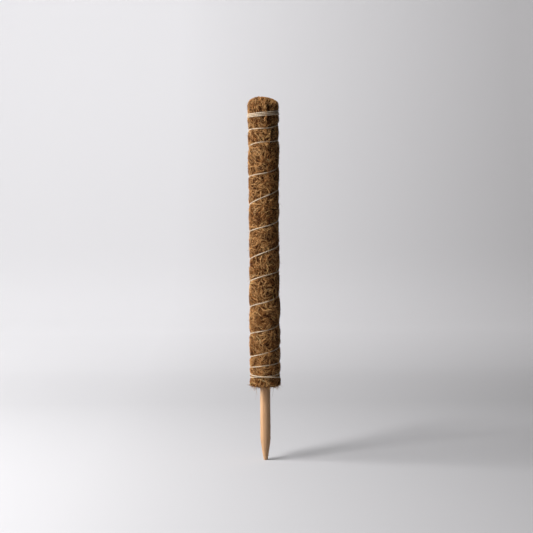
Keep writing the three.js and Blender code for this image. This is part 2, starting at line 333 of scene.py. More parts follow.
def height_from_twine(angle, height):
    """How far each place on the coir lies above or below the nearest turn of twine."""
    nearest = np.full(np.broadcast(angle, height).shape, np.inf)
    for turn in range(round(LAST_TURN) + 1):
        crossing = turn - angle_off(angle, 0) / FULL_TURN
        away = np.abs(height - twine_height(crossing))
        wound = (crossing >= FIRST_TURN) & (crossing <= LAST_TURN)
        nearest = np.where(wound, np.minimum(nearest, away), nearest)
    return nearest


# Surface of the roll, in metres

# Heights up the roll, and how much its radius differs there
GIRTH_HEIGHTS = (0.104, 0.16, 0.23, 0.30, 0.36, 0.41, 0.44, 0.463)
GIRTH_CHANGES = (0.0004, 0.0003, -0.0001, -0.0005, -0.0002, 0.0003, 0.0006, 0.0001)
LUMP_HEIGHT = 0.0004
LUMP_SIZE = 0.016
TUFT_HEIGHT = 0.0003
TUFT_SIZE = 0.0034
PIT_DEPTH = 0.0042
PIT_SIZE = 0.0016
PIT_LEVEL = 0.25  # of the noise, above which there is a pit
FELT_DEPTH = 0.0004  # of the felt inside the solid's surface
GROOVE_DEPTH = 0.0009
GROOVE_WIDTH = 0.0020
BULGE = 0.0006
BULGE_REACH = 0.009
SEAM_DEPTH = 0.003
SEAM_WIDTH = 0.0018
SEAM_WANDER = 0.0026
SEAM_WANDER_SIZE = 0.014
SEAM_OPENS_FROM = 0.40  # height where the slit begins to open
SEAM_OPENS_TO = 0.44  # height where it is fully open
SEAM_OPEN_BELOW = 0.15  # share that it is open further down
SEAM_UNEVENNESS = 0.3  # share by which the opening varies
SEAM_UNEVEN_SIZE = 0.011
# A fold's lip, as a share of its depth, and the lip's place, edge and recovery, as shares of its width
FOLD_LIP = 0.35
FOLD_LIP_OFF = 1.2
FOLD_EDGE = 0.4
FOLD_RECOVERY = 3


def felt_relief(x, y, pits):
    """Lumps, tufts and pits of the felt, unrolled. The pits count in full at 1."""
    lumps = LUMP_HEIGHT * flat_noise(x, y, LUMP_SIZE, seed=1)
    tufts = TUFT_HEIGHT * flat_noise(x, y, TUFT_SIZE, seed=2)
    pit = np.maximum(flat_noise(x, y, PIT_SIZE, seed=3) - PIT_LEVEL, 0)
    return lumps + tufts - FELT_DEPTH - pits * PIT_DEPTH * pit


def twine_relief(angle, height):
    """The groove that the twine pulls into the coir, and the swelling between its turns."""
    away = height_from_twine(angle, height)
    swelling = BULGE * (1 - np.exp(-((away / BULGE_REACH) ** 2)))
    return swelling - GROOVE_DEPTH * np.exp(-((away / GROOVE_WIDTH) ** 2))


def fold_step(off, width):
    """A lapped fold: a raised left edge, then a drop of one that the coir slowly makes up."""
    lip = FOLD_LIP * np.exp(-((off / width + FOLD_LIP_OFF) ** 2))
    edge = FOLD_EDGE * width
    drop = smoothstep(off, -edge, edge) * np.exp(-np.maximum(off, 0) / (FOLD_RECOVERY * width))
    return lip - drop


def seam_relief(angle, height):
    """The lap seam: an uneven slit down the roll, open towards the top."""
    wander = SEAM_WANDER * flat_noise(0, height, SEAM_WANDER_SIZE, seed=5)
    opening = smoothstep(height, SEAM_OPENS_FROM, SEAM_OPENS_TO)
    openness = SEAM_OPEN_BELOW + (1 - SEAM_OPEN_BELOW) * opening
    uneven = flat_noise(0, height, SEAM_UNEVEN_SIZE, seed=6)
    openness = openness * (1 - SEAM_UNEVENNESS + SEAM_UNEVENNESS * uneven)
    off = angle_off(angle, SEAM_ANGLE) * MAT_RADIUS - wander
    return SEAM_DEPTH * openness * fold_step(off, SEAM_WIDTH)


def roll_points(angle, height, lift=0.0, pits=1.0):
    """Places on the roll's wall, or lifted off it."""
    radius = MAT_RADIUS + np.interp(height, GIRTH_HEIGHTS, GIRTH_CHANGES)
    relief = felt_relief(angle * MAT_RADIUS, height, pits) + twine_relief(angle, height)
    return on_pole(angle, radius + relief + seam_relief(angle, height) + lift, height)


# Surface of the crown, in metres

DOME_STEPS = 60


def crown_profile():
    """Way along the crown's outside from the middle of its top, with the radius and height there."""
    turn = np.linspace(math.pi / 2, 0, DOME_STEPS)
    power = 2 / DOME_FULLNESS
    dome_radius = CROWN_RADIUS * np.clip(np.cos(turn), 0, 1) ** power
    dome_height = CROWN_TOP - DOME_HEIGHT + DOME_HEIGHT * np.sin(turn) ** power
    edge_radius = CROWN_RADIUS - SKIRT_THICKNESS + SKIRT_EDGE
    radius = np.concatenate((dome_radius, [CROWN_RADIUS, edge_radius]))
    height = np.concatenate((dome_height, [CROWN_BOTTOM + SKIRT_BEVEL, CROWN_BOTTOM]))
    return path_lengths(np.stack([radius, height], -1)), radius, height


PROFILE_REACH, PROFILE_RADIUS, PROFILE_HEIGHT = crown_profile()
CROWN_REACH = PROFILE_REACH[-1]
# Folds of the crown: degrees to the right of the front, and depth in metres
PLEATS = (
    (-152, 0.0010), (-118, 0.0008), (-71, 0.0005), (-34, 0.0004), (-8, 0.0009),
    (16, 0.0030), (52, 0.0006), (83, 0.0012), (121, 0.0009), (160, 0.0012),
)
PLEAT_WIDTH = 0.0017
# Ways out from the middle of the crown's top where the folds begin and where they are full
PLEATS_FROM = 0.017
PLEATS_FULL = 0.028
# How far the top sinks at its right side, and the place from left to right where that begins
CROWN_SLUMP = 0.002
SLUMP_FROM = -0.01
PROFILE_STEP = 0.0004  # way along the outside over which its slope is taken


def pleat_relief(angle, reach):
    """Folds where the disc of felt is gathered down over the end of the roll."""
    relief = 0 * angle
    for degrees, depth in PLEATS:
        off = angle_off(angle, math.radians(degrees)) * CROWN_RADIUS
        relief = relief + depth * fold_step(off, PLEAT_WIDTH)
    return relief * smoothstep(reach, PLEATS_FROM, PLEATS_FULL)


def crown_points(angle, reach, lift=0.0, pits=1.0):
    """Places on the crown, a given way out from the middle of its top, or lifted off it."""
    reach = np.minimum(reach, CROWN_REACH - PROFILE_STEP)
    ahead = reach + PROFILE_STEP
    radius, ahead_radius = (np.interp(at, PROFILE_REACH, PROFILE_RADIUS) for at in (reach, ahead))
    height, ahead_height = (np.interp(at, PROFILE_REACH, PROFILE_HEIGHT) for at in (reach, ahead))
    length = np.hypot(ahead_radius - radius, ahead_height - height)
    out_radius, out_height = (height - ahead_height) / length, (ahead_radius - radius) / length
    relief = felt_relief(reach * np.sin(angle), MAT_TOP / 2 - reach * np.cos(angle), pits)
    relief = relief + twine_relief(angle, height) - BULGE + pleat_relief(angle, reach) + lift
    slump = CROWN_SLUMP * smoothstep(radius * np.sin(angle), SLUMP_FROM, CROWN_RADIUS)
    slump = slump * smoothstep(height, MAT_TOP, CROWN_TOP)
    return on_pole(angle, radius + relief * out_radius, height + relief * out_height - slump)


# Stake

STAKE_SIDES = 96
TIP_STEPS = 6
POINT_STEPS = 40
SHAFT_STEPS = 60
TIP_ROUND_DEGREES = 75
STAKE_HIDDEN = 0.006  # length inside the coir that is worn like the rest
TOP_BEVEL = 0.0006
WEAR_DEPTH = 0.00012
WEAR_SIZE = 0.012
FINE_WEAR_DEPTH = 0.00005
FINE_WEAR_SIZE = 0.004
TIP_WEAR_DEPTH = 0.0004
TIP_WEAR_SIZE = 0.006
TIP_WEAR_REACH = 0.012


def stake_outline():
    """Radius and height up the stake, from its tip to its top."""
    turn = np.radians(np.linspace(0, TIP_ROUND_DEGREES, TIP_STEPS))
    tip = np.stack([TIP_RADIUS - TIP_ROUND * (1 - np.sin(turn)), TIP_ROUND * (1 - np.cos(turn))], -1)
    share = np.linspace(0, 1, POINT_STEPS)[:, None]
    start, end = np.array((TIP_RADIUS, TIP_ROUND)), np.array((STAKE_RADIUS, POINT_LENGTH))
    middle = (start + end) / 2 + (POINT_BULGE, 0)
    point = (1 - share) ** 2 * start + 2 * share * (1 - share) * middle + share**2 * end
    heights = np.linspace(POINT_LENGTH, MAT_BOTTOM + STAKE_HIDDEN, SHAFT_STEPS)[1:]
    shaft = np.stack([np.full(len(heights), STAKE_RADIUS), heights], -1)
    top = np.array(((STAKE_RADIUS, STAKE_TOP - TOP_BEVEL), (STAKE_RADIUS - TOP_BEVEL, STAKE_TOP)))
    return np.concatenate((tip, point, shaft, top))


def stake_piece():
    """The turned stake, with the slight wear and flats of real wood."""
    outline = stake_outline()
    angle = FULL_TURN * np.arange(STAKE_SIDES)[None, :] / STAKE_SIDES
    radius, height = outline[:, :1], outline[:, 1:]
    x = angle * MAT_RADIUS
    worn = WEAR_DEPTH * flat_noise(x, height, WEAR_SIZE, seed=20)
    worn = worn + FINE_WEAR_DEPTH * flat_noise(x, height, FINE_WEAR_SIZE, seed=21)
    near_tip = 1 - smoothstep(height, 0, TIP_WEAR_REACH)
    worn = worn - TIP_WEAR_DEPTH * near_tip * np.maximum(flat_noise(x, height, TIP_WEAR_SIZE, seed=22), 0)
    places = on_pole(angle, radius + worn, height).reshape(-1, 3)
    rings = len(outline)
    ends = np.array(((0, 0, 0), (0, 0, STAKE_TOP)))
    bottom = end_fan(0, STAKE_SIDES, len(places))[:, ::-1]
    top = end_fan(rings - 1, STAKE_SIDES, len(places) + 1)
    walls = ring_faces(rings, STAKE_SIDES)
    return mesh_piece("stake_dowel", np.concatenate((places, ends)), walls, bottom, top)


# Coir roll and crown

COIR_SIDES = 240
COIR_STEP = 0.0005
UNDER_CROWN = 0.006  # length that the roll's surface and its fibres run on under the crown
UNDERSIDE_RING = 0.004  # radius of the innermost ring under the crown's top
END_ROUND = 0.0009
END_RINGS = 20
END_INSET = 0.001  # of the cut end's outermost ring from the outside
END_LIFT = 0.0006  # of the cut end above the solid's
END_LUMP_HEIGHT = 0.0006
END_LUMP_SIZE = 0.004
END_LUMP_NARROWING = 3  # how much narrower its lumps are along the radius
CREASE_DEPTH = 0.0025
CREASE_WIDTH = 0.0007


def wrap_join(angle):
    """Radius of the join between the roll's two wraps, as it shows at the cut end."""
    share = (angle - SEAM_ANGLE) % FULL_TURN / FULL_TURN
    low, high = MAT_INNER + LAP_EDGE, MAT_RADIUS - LAP_EDGE
    return low + (high - low) * (0.5 + 0.5 * (2 * share - 1) ** 3)


def cut_end_points(angle, radius):
    """The roll's cut lower end, with the join between its wraps as a crease."""
    crease = CREASE_DEPTH * np.exp(-(((radius - wrap_join(angle)) / CREASE_WIDTH) ** 2))
    lumps = flat_noise(angle * MAT_RADIUS, radius * END_LUMP_NARROWING, END_LUMP_SIZE, seed=7)
    rounding = END_ROUND * smoothstep(radius, MAT_RADIUS - 2 * END_ROUND, MAT_RADIUS)
    return on_pole(angle, radius, MAT_BOTTOM + END_LIFT + crease + END_LUMP_HEIGHT * lumps + rounding)


def roll_piece():
    """The roll's felt as one closed skin: cut end, wall, neck under the crown, and bore."""
    angle = FULL_TURN * np.arange(COIR_SIDES) / COIR_SIDES
    end_radii = np.linspace(MAT_INNER, MAT_RADIUS - END_INSET, END_RINGS)
    end = [cut_end_points(angle, radius) for radius in end_radii]
    heights = np.arange(MAT_BOTTOM + 2 * END_ROUND, CROWN_BOTTOM + UNDER_CROWN, COIR_STEP)
    wall = [roll_points(angle, np.full(COIR_SIDES, height)) for height in heights]
    neck = CROWN_RADIUS - SKIRT_THICKNESS - SEAT_GAP
    inside = ((neck, heights[-1] + COIR_STEP), (neck, MAT_TOP), (MAT_INNER, MAT_TOP))
    rings = np.array(end + wall + [on_pole(angle, radius, height) for radius, height in inside])
    return mesh_piece("coir_roll", rings.reshape(-1, 3), ring_faces(len(rings), COIR_SIDES, closed=True))


def crown_piece():
    """The crown's felt: its folded outside, its edge and the inside that sits on the roll."""
    angle = FULL_TURN * np.arange(COIR_SIDES) / COIR_SIDES
    reaches = np.arange(COIR_STEP, CROWN_REACH, COIR_STEP)
    outside = [crown_points(angle, np.full(COIR_SIDES, reach)) for reach in reaches]
    bore = CROWN_RADIUS - SKIRT_THICKNESS
    underside = MAT_TOP + SEAT_GAP
    inside = ((bore, CROWN_BOTTOM), (bore, underside), (UNDERSIDE_RING, underside))
    rings = np.array(outside + [on_pole(angle, radius, height) for radius, height in inside])
    middles = np.array(((0, 0, CROWN_TOP - FELT_DEPTH), (0, 0, underside)))
    places = np.concatenate((rings.reshape(-1, 3), middles))
    walls = ring_faces(len(rings), COIR_SIDES)[:, ::-1]
    top = end_fan(0, COIR_SIDES, len(places) - 2)
    below = end_fan(len(rings) - 1, COIR_SIDES, len(places) - 1)[:, ::-1]
    return mesh_piece("coir_crown", places, walls, top, below)


# Loose coir fibres, in locks of a few that run side by side

FIBRES_PER_LOCK = 4
FIBRE_STEPS = 10
FIBRE_RADIUS = 0.00019
FIBRE_FLATNESS = 0.6
LOCK_LENGTH = 0.016
LOCK_WIDTH = 0.0008
LOCK_RISE = 0.0016  # of the highest locks above the felt
LOCK_ARCH = 0.0010  # how much lower the outer fibres of a lock lie than its middle
FIBRE_TONES = np.array((
    (0.07, 0.021, 0.0055), (0.305, 0.132, 0.04), (0.585, 0.32, 0.124), (0.66, 0.415, 0.195),
))
TONE_SHARES = (0.15, 0.39, 0.44, 0.02)
FIBRE_TONE_SPREAD = 0.2
STRETCH_TONE_SPREAD = 0.08
PALEST = 0.8
MAT_LOCKS = 5340
MAT_BANDS = 6
CROWN_LOCKS = 880
CROWN_LOCK_LENGTH = 0.011
CROWN_SPREAD = 0.62  # a half would spread the locks evenly over the flat disc
CROWN_OVERLAP = 0.002  # length under the crown that still has locks of the roll
SINK_AT_END = 0.7  # depth that fibres sink for each length past the roll's cut end
SINK_AT_CROWN = 0.5  # and for each length under the crown
FIBRE_PITS = 0.3  # share of the felt's pits that fibres follow
# Painted shade in folds: how much darker the fibres are coloured there, standing in for the shade that falls
# in a fold, and the depths where that begins and where it is full
FOLD_PAINTED_SHADE = 0.8
FOLD_PAINTED_SHADE_FROM = 0.0008
FOLD_PAINTED_SHADE_FULL = 0.0024

# How locks lie: patches combed alike, in metres, and turns away from them, in radians
SCATTER_STRIDES = (0.7549, 0.5698)  # parts of the square's sides that keep points well apart
SCATTER_JITTER = 0.4  # of the space between two locks
COMB_SIZE = 0.018
COMB_DETAIL = 0.6  # how much the finer patches turn a lock against the larger ones
COMB_DETAIL_SIZE = 0.009
STRAY_TURN = 0.4

# How the fibres of a lock differ: turns in radians, bends in radians per metre, the rest as shares
LENGTH_SPREAD = 0.42
FIBRE_LENGTHS = (0.65, 1.15)
FIBRE_TURN = 0.08
LOCK_BEND = 80
FIBRE_BEND = 20
LOCK_SWAY = 0.35
FIBRE_SWAY = 0.18
SWAYS_PER_FIBRE = 1.3
BESIDE_SPREAD = 0.08
AHEAD_SPREAD = 0.1
WAVE_ANGLES = (2, 6)  # in radians over half a fibre
WAVE_HEIGHTS = (0.0001, 0.0003)  # in metres
RISE_SPREAD = (-0.0001, 0.0002)  # in metres
END_TUCK_POWER = 5
RADIUS_SPREAD = 0.25
END_TAPER = 0.6
FIBRE_SIDES = 3


def even_scatter(rng, count):
    """Places over a unit square, evenly spread and a little jittered, as two rows."""
    places = np.arange(count) * np.array(SCATTER_STRIDES)[:, None]
    return (places + rng.normal(0, SCATTER_JITTER / math.sqrt(count), (2, count))) % 1


def lock_headings(rng, x, y):
    """Headings of the locks: combed alike over a patch, with some strays."""
    detail = COMB_DETAIL * flat_noise(x, y, COMB_DETAIL_SIZE, seed=31)
    combed = math.pi * (flat_noise(x, y, COMB_SIZE, seed=30) + detail)
    return combed + rng.normal(0, STRAY_TURN, x.shape)


def lock_tracks(rng, headings, mean_length):
    """Travel across and up, laid flat, of each fibre from the middle of its lock."""
    lock = (len(headings), 1, 1)
    each = (len(headings), FIBRES_PER_LOCK, 1)
    share = np.linspace(-0.5, 0.5, FIBRE_STEPS)
    heading = headings[:, None, None] + rng.normal(0, FIBRE_TURN, each)
    length = mean_length * rng.lognormal(0, LENGTH_SPREAD, lock) * rng.uniform(*FIBRE_LENGTHS, each)
    bend = rng.normal(0, LOCK_BEND, lock) + rng.normal(0, FIBRE_BEND, each)
    sway = rng.normal(0, LOCK_SWAY, lock) + rng.normal(0, FIBRE_SWAY, each)
    phase = rng.uniform(0, FULL_TURN, lock)
    direction = heading + bend * length * share + sway * np.sin(SWAYS_PER_FIBRE * FULL_TURN * share + phase)
    step = length / (FIBRE_STEPS - 1)
    across, up = np.cumsum(np.cos(direction) * step, 2), np.cumsum(np.sin(direction) * step, 2)
    middle = FIBRE_STEPS // 2
    place = np.linspace(-0.5, 0.5, FIBRES_PER_LOCK)[None, :, None]
    beside = LOCK_WIDTH * (place + rng.normal(0, BESIDE_SPREAD, each))
    ahead = rng.normal(0, AHEAD_SPREAD * mean_length, each)
    across = across - across[..., middle, None] - beside * np.sin(heading) + ahead * np.cos(heading)
    up = up - up[..., middle, None] + beside * np.cos(heading) + ahead * np.sin(heading)
    return across.reshape(-1, FIBRE_STEPS), up.reshape(-1, FIBRE_STEPS)


def for_fibres(of_locks):
    """One value for each fibre, from one for each lock."""
    return np.repeat(of_locks, FIBRES_PER_LOCK, axis=0)[:, None]


def fibre_lifts(rng, locks):
    """Height of each fibre over the felt: its lock's, arched across, with its ends tucked in."""
    count = locks * FIBRES_PER_LOCK
    share = np.linspace(-1, 1, FIBRE_STEPS)
    wave = np.sin(rng.uniform(*WAVE_ANGLES, (count, 1)) * share + rng.uniform(0, FULL_TURN, (count, 1)))
    rise = for_fibres(rng.uniform(0, LOCK_RISE, locks)) + rng.uniform(*RISE_SPREAD, (count, 1))
    rise = rise - LOCK_ARCH * np.tile(np.linspace(-1, 1, FIBRES_PER_LOCK) ** 2, locks)[:, None]
    tuck = LOCK_RISE * np.abs(share) ** END_TUCK_POWER
    return rise + rng.uniform(*WAVE_HEIGHTS, (count, 1)) * wave - tuck


def fibre_radii(rng, count):
    share = np.linspace(-1, 1, FIBRE_STEPS)
    return FIBRE_RADIUS * rng.lognormal(0, RADIUS_SPREAD, (count, 1)) * (1 - END_TAPER * share**4)


def fibre_colours(rng, locks, per_lock):
    """Colours along the fibres: a tone for each lock, with lighter and darker fibres and stretches in it."""
    tones = FIBRE_TONES[rng.choice(len(FIBRE_TONES), locks, p=TONE_SHARES)]
    tones = np.repeat(tones, per_lock, axis=0)[:, None]
    fibre = rng.lognormal(0, FIBRE_TONE_SPREAD, (len(tones), 1, 1))
    stretch = rng.lognormal(0, STRETCH_TONE_SPREAD, (len(tones), FIBRE_STEPS, 1))
    return np.clip(tones * fibre * stretch, 0, PALEST)


def painted_fold_shade(relief):
    """Share of their own tone that fibres keep, less the deeper in a fold they lie, as painted shade."""
    return 1 - FOLD_PAINTED_SHADE * smoothstep(-relief, FOLD_PAINTED_SHADE_FROM, FOLD_PAINTED_SHADE_FULL)[..., None]


def mat_fibre_piece(band):
    """Fibres over one band of the roll. They curl in under its cut end and dive under the crown."""
    rng = np.random.default_rng(100 + band)
    locks = MAT_LOCKS // MAT_BANDS
    span = (CROWN_BOTTOM + CROWN_OVERLAP - MAT_BOTTOM) / MAT_BANDS
    share_x, share_y = even_scatter(rng, locks)
    x, y = GIRTH * share_x, MAT_BOTTOM + span * (band + share_y)
    across, up = lock_tracks(rng, lock_headings(rng, x, y), LOCK_LENGTH)
    height = for_fibres(y) + up
    below = np.maximum(MAT_BOTTOM + END_ROUND - height, 0)
    above = np.maximum(height - CROWN_BOTTOM, 0)
    lift = fibre_lifts(rng, locks) - SINK_AT_END * below - SINK_AT_CROWN * above
    height = height + below - END_ROUND * np.tanh(below / END_ROUND)
    height = np.minimum(height, CROWN_BOTTOM + UNDER_CROWN)
    angle = (for_fibres(x) + across) / MAT_RADIUS
    places = roll_points(angle, height, lift, FIBRE_PITS)
    radii = fibre_radii(rng, len(places))
    # Fibres in the seam's slit are darkened in colour: painted shade.
    colours = fibre_colours(rng, locks, FIBRES_PER_LOCK) * painted_fold_shade(seam_relief(angle, height))
    return tube_piece(f"coir_fibres_{band + 1}", places, radii, FIBRE_SIDES, colours, FIBRE_FLATNESS)


def crown_fibre_piece():
    """Fibres over the crown, laid on the flat disc that it is folded from."""
    rng = np.random.default_rng(200)
    share_bearing, share_reach = even_scatter(rng, CROWN_LOCKS)
    bearing, reach = FULL_TURN * share_bearing, CROWN_REACH * share_reach**CROWN_SPREAD
    x, y = reach * np.sin(bearing), -reach * np.cos(bearing)
    across, up = lock_tracks(rng, lock_headings(rng, x, y + MAT_TOP / 2), CROWN_LOCK_LENGTH)
    x, y = for_fibres(x) + across, for_fibres(y) + up
    angle, reach = np.arctan2(x, -y), np.hypot(x, y)
    places = crown_points(angle, reach, fibre_lifts(rng, CROWN_LOCKS), FIBRE_PITS)
    radii = fibre_radii(rng, len(places))
    # Fibres in the crown's folds are darkened in colour: painted shade.
    colours = fibre_colours(rng, len(places), per_lock=1) * painted_fold_shade(pleat_relief(angle, reach))
    return tube_piece("crown_fibres", places, radii, FIBRE_SIDES, colours, FIBRE_FLATNESS)


# Single hairs: strays over the coir and the fray at its cut end

HAIR_RADIUS = 0.00016
STRAY_COUNT = 700
STRAY_LOWEST = 0.004  # above the roll's cut end
STRAY_SLANTS = (0.1, 0.35)  # rise off the coir for each length along it
STRAY_LENGTHS = (0.003, 0.007)
STRAY_CURL = 0.3
FRAY_COUNT = 900
FRAY_INSET = 0.0005
FRAY_CROWDING = 0.35  # the lower, the more of the hairs lie near the outside
FRAY_ROOT = 0.001  # depth of the roots in the cut end
FRAY_SPLAY = 0.45  # spread to the sides for each length down
FRAY_LENGTHS = (0.0012, 0.0034)
FRAY_LONG_SHARE = 0.06
FRAY_CURL = 0.8


def hair_paths(rng, roots, directions, lengths, curl):
    """Hairs from their roots along their directions, each bending its own way."""
    share = np.linspace(0, 1, FIBRE_STEPS)[:, None]
    bend = rng.normal(0, curl, roots.shape)[:, None]
    return roots[:, None] + lengths[:, None, None] * (directions[:, None] * share + bend * share**2)


def hair_piece(name, rng, paths):
    """Tapered hairs along their paths, each in its own tone."""
    share = np.linspace(0, 1, FIBRE_STEPS)
    radii = HAIR_RADIUS * rng.lognormal(0, RADIUS_SPREAD, (len(paths), 1)) * (1 - END_TAPER * share**2)
    return tube_piece(name, paths, radii, FIBRE_SIDES, fibre_colours(rng, len(paths), per_lock=1))


def stray_piece():
    """Hairs that stand off the roll at a slant."""
    rng = np.random.default_rng(300)
    angle = rng.uniform(0, FULL_TURN, STRAY_COUNT)
    height = rng.uniform(MAT_BOTTOM + STRAY_LOWEST, CROWN_BOTTOM, STRAY_COUNT)
    heading = rng.uniform(0, FULL_TURN, STRAY_COUNT)[:, None]
    outward, around = on_pole(angle, 1, 0), on_pole(angle + math.pi / 2, 1, 0)
    slant = rng.uniform(*STRAY_SLANTS, (STRAY_COUNT, 1))
    directions = slant * outward + np.cos(heading) * around + np.sin(heading) * (0, 0, 1)
    lengths = rng.uniform(*STRAY_LENGTHS, STRAY_COUNT)
    paths = hair_paths(rng, roll_points(angle, height), directions, lengths, STRAY_CURL)
    return hair_piece("stray_fibres", rng, paths)


def fray_piece():
    """Short fibres that hang from the cut end, with a few longer ones."""
    rng = np.random.default_rng(400)
    angle = rng.uniform(0, FULL_TURN, FRAY_COUNT)
    share = rng.uniform(0, 1, FRAY_COUNT) ** FRAY_CROWDING
    radius = MAT_INNER + (MAT_RADIUS - FRAY_INSET - MAT_INNER) * share
    roots = cut_end_points(angle, radius) + (0, 0, FRAY_ROOT)
    directions = rng.normal(0, FRAY_SPLAY, (FRAY_COUNT, 3)) * (1, 1, 0) + (0, 0, -1)
    lengths = rng.uniform(*FRAY_LENGTHS, FRAY_COUNT)
    lengths = lengths * np.where(rng.uniform(0, 1, FRAY_COUNT) < FRAY_LONG_SHARE, 2, 1)
    paths = hair_paths(rng, roots, directions, lengths, FRAY_CURL)
    return hair_piece("frayed_end", rng, paths)


# Twine and its knots

TWIST_LENGTH = 0.0052  # way along the twine of one full twist
PLY_RADIUS = 0.00048
PLY_OFFSET = 0.0004
PLY_SIDES = 6
TWINE_STEP = 0.0005
POINTS_PER_TURN = 200
# A knot's loop, with its length and width as shares of the knot's length and radius, and its tail
LOOP_LENGTH = 0.36
LOOP_WIDTH = 0.75
LOOP_DEPTH = 1.4
LOOP_POINTS = 160
LEAD_TURN = 0.01  # stretch of the last turn that gives the knot its direction
LEAD_POINTS = 12
TAIL_DROP = 0.0015
TAIL_POINTS = 40


def twisted_piece(name, path):
    """Two plies that wind round each other along a path."""
    outward, across = (part[0] for part in frames_along(path[None]))
    turn = FULL_TURN * path_lengths(path)[:, None] / TWIST_LENGTH
    off = PLY_OFFSET * (outward * np.cos(turn) + across * np.sin(turn))
    return tube_piece(name, np.array((path + off, path - off)), PLY_RADIUS, PLY_SIDES)


def twine_piece():
    turns = np.linspace(FIRST_TURN, LAST_TURN, round((LAST_TURN - FIRST_TURN) * POINTS_PER_TURN))
    return twisted_piece("twine_wound", even_path(twine_points(turns), TWINE_STEP))


def overhand_loop():
    """The closed loop of an overhand knot, within one unit of its middle along its length and width."""
    turn = np.linspace(0, FULL_TURN, LOOP_POINTS)
    along = np.sin(turn) + 2 * np.sin(2 * turn)
    up = np.cos(turn) - 2 * np.cos(2 * turn)
    out = -LOOP_DEPTH * np.sin(3 * turn)
    return np.stack([along, up, out], -1) / 3


def knot_piece(name, turn, inward):
    """A tied knot at an end of the twine, and the short tail that it leaves."""
    end, before = twine_points(np.array((turn, turn + inward * LEAD_TURN)))
    along = (end - before) * (1, 1, 0)
    along /= np.linalg.norm(along)
    outward = end * (1, 1, 0) / np.linalg.norm(end[:2])
    seat = radius_under_twine(end[2]) + SEAT_GAP
    middle = outward * (seat + KNOT_RADIUS) + (0, 0, end[2])
    middle = middle + along * (2 * TWINE_RADIUS + SEAT_GAP + KNOT_LENGTH / 2)
    sizes = np.array((LOOP_LENGTH * KNOT_LENGTH, LOOP_WIDTH * KNOT_RADIUS, LOOP_WIDTH * KNOT_RADIUS))
    knot = middle + (overhand_loop() * sizes) @ np.array((along, (0, 0, 1), outward))
    share = np.linspace(0, 1, TAIL_POINTS)
    tail_sweep = inward * (KNOT_LENGTH / 2 + TAIL_LENGTH) / seat
    tail_angle = math.atan2(middle[0], -middle[1]) + tail_sweep * share
    tail_radius = np.hypot(*middle[:2]) * (1 - share) + (seat + TWINE_RADIUS) * share
    tail = on_pole(tail_angle, tail_radius, middle[2] - TAIL_DROP * share**2)
    lead = np.linspace(end, middle, LEAD_POINTS)
    return twisted_piece(name, even_path(np.concatenate((lead, knot, tail)), TWINE_STEP))


# Materials

def new_material(name):
    material = bpy.data.materials.new(name)
    material.use_nodes = True
    return material, material.node_tree, material.node_tree.nodes["Principled BSDF"]


def add_node(tree, kind, operation=None, **inputs):
    """A new node, with values for its named inputs."""
    node = tree.nodes.new(kind)
    if operation:
        node.operation = operation
    for name, value in inputs.items():
        node.inputs[name.replace("_", " ")].default_value = value
    return node


def add_ramp(tree, source, *stops, blend="LINEAR"):
    """A colour ramp through stops, each a position and a colour."""
    ramp = tree.nodes.new("ShaderNodeValToRGB")
    ramp.color_ramp.interpolation = blend
    elements = ramp.color_ramp.elements
    while len(elements) < len(stops):
        elements.new(0.5)
    for element, (position, colour) in zip(elements, stops):
        element.position = position
        element.color = (*colour, 1)
    tree.links.new(source, ramp.inputs["Fac"])
    return ramp.outputs["Color"]


def add_noise(tree, scale, detail, roughness):
    """Noise over the object, with its own scale along each axis, in lumps per metre."""
    where = add_node(tree, "ShaderNodeTexCoord")
    mapping = add_node(tree, "ShaderNodeMapping", Scale=scale)
    noise = add_node(tree, "ShaderNodeTexNoise", Scale=1.0, Detail=detail, Roughness=roughness)
    tree.links.new(where.outputs["Object"], mapping.inputs["Vector"])
    tree.links.new(mapping.outputs["Vector"], noise.inputs["Vector"])
    return noise.outputs["Fac"]


def add_bump(tree, shader, source, distance):
    bump = add_node(tree, "ShaderNodeBump", Distance=distance)
    tree.links.new(source, bump.inputs["Height"])
    tree.links.new(bump.outputs["Normal"], shader.inputs["Normal"])


def add_direct_sight(tree):
    """One for what the camera sees straight, mirrored or through glass, and zero for scattered light."""
    path = add_node(tree, "ShaderNodeLightPath")
    seen = path.outputs["Is Camera Ray"]
    for kind in ("Is Glossy Ray", "Is Transmission Ray"):
        either = add_node(tree, "ShaderNodeMath", "MAXIMUM")
        tree.links.new(seen, either.inputs[0])
        tree.links.new(path.outputs[kind], either.inputs[1])
        seen = either.outputs["Value"]
    return seen


def colour_by(tree, shader, source, *stops):
    """Colours a shader by a ramp over a source from 0 to 1."""
    tree.links.new(add_ramp(tree, source, *stops), shader.inputs["Base Color"])


def matt(shader, roughness, specular):
    shader.inputs["Roughness"].default_value = roughness
    shader.inputs["Specular IOR Level"].default_value = specular


def felt_material():
    """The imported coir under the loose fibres: dark, with lighter flecks."""
    material, tree, shader = new_material("coir_felt")
    flecks = add_noise(tree, scale=(900, 900, 900), detail=4, roughness=0.7)
    dark, brown, light = (0.022, 0.007, 0.0018), (0.08, 0.028, 0.008), (0.22, 0.095, 0.03)
    colour_by(tree, shader, flecks, (0.35, dark), (0.5, brown), (0.68, light))
    matt(shader, roughness=0.95, specular=0.05)
    add_bump(tree, shader, flecks, distance=0.0006)
    return material


def fibre_material():
    """Loose coir fibres, each in its own tone."""
    material, tree, shader = new_material("coir_fibre")
    tone = add_node(tree, "ShaderNodeVertexColor")
    tone.layer_name = "tone"
    tree.links.new(tone.outputs["Color"], shader.inputs["Base Color"])
    matt(shader, roughness=0.6, specular=0.1)
    return material


def twine_material():
    """Cream twine with darker strands in it."""
    material, tree, shader = new_material("twine")
    strands = add_noise(tree, scale=(700, 700, 1400), detail=3, roughness=0.6)
    dark, cream, pale = (0.31, 0.21, 0.115), (0.54, 0.415, 0.285), (0.69, 0.57, 0.43)
    colour_by(tree, shader, strands, (0.25, dark), (0.5, cream), (0.75, pale))
    matt(shader, roughness=0.45, specular=0.55)
    add_bump(tree, shader, strands, distance=0.0003)
    return material


